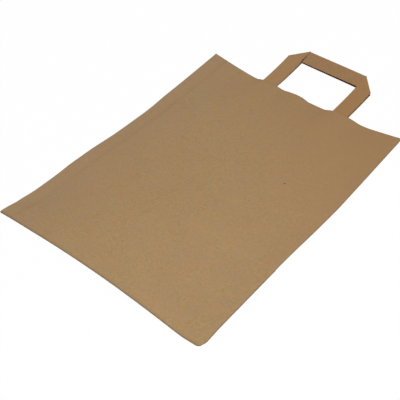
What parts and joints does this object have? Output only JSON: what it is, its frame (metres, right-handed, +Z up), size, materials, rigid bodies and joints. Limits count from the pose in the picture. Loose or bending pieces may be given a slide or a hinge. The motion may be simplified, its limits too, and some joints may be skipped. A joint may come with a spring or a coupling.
{
  "type": "flat handle paper bag",
  "caption": "Plain kraft paper carrier bag with a rectangular bottom and two flat tape handles, folded flat, for takeaway food and shopping.",
  "frame": {"origin": "on the table, under the middle of the flat bag and its handles", "axes": "+Y from the folded bottom towards the mouth and handles, +X across the bag, +Z up from the table through the flat bag"},
  "size_m": [0.26, 0.4234, 0.0131],
  "materials": {
    "kraft_paper": "matte brown kraft paper with a fine fibre fleck",
    "handle_paper": "smooth matte brown kraft tape"
  },
  "bodies": {
    "root": {"bag_body": "kraft_paper", "upper_handle": "handle_paper", "lower_handle": "handle_paper", "upper_handle_patch": "kraft_paper", "lower_handle_patch": "kraft_paper"}
  },
  "joints": []
}
